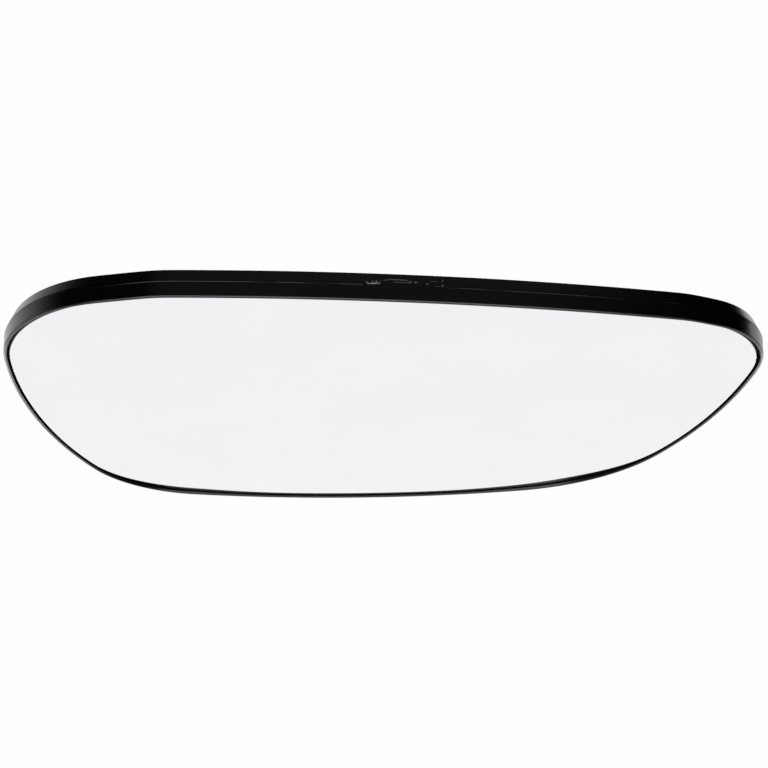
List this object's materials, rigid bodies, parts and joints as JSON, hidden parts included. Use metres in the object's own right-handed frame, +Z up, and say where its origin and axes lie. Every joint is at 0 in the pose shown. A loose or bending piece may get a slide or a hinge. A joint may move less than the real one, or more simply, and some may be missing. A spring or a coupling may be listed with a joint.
{
  "type": "car door mirror glass",
  "caption": "Convex car door mirror glass bonded in a black moulded backing plate, whose pivot ring, snap hooks and drive sockets fit it to a mirror actuator.",
  "frame": {"origin": "middle of the pivot ring's mouth, on the back of the plate", "axes": "+Z up, +X outboard, +Y out of the ring to the rear, so the glass looks along -Y"},
  "size_m": [0.1999, 0.0153, 0.133],
  "materials": {
    "mirror_coat": "polished",
    "acrylic_foam": "matte",
    "black_plastic": "satin"
  },
  "bodies": {
    "root": {"mirror_glass": "mirror_coat", "adhesive_tape": "acrylic_foam", "backing_plate": "black_plastic"}
  },
  "joints": []
}
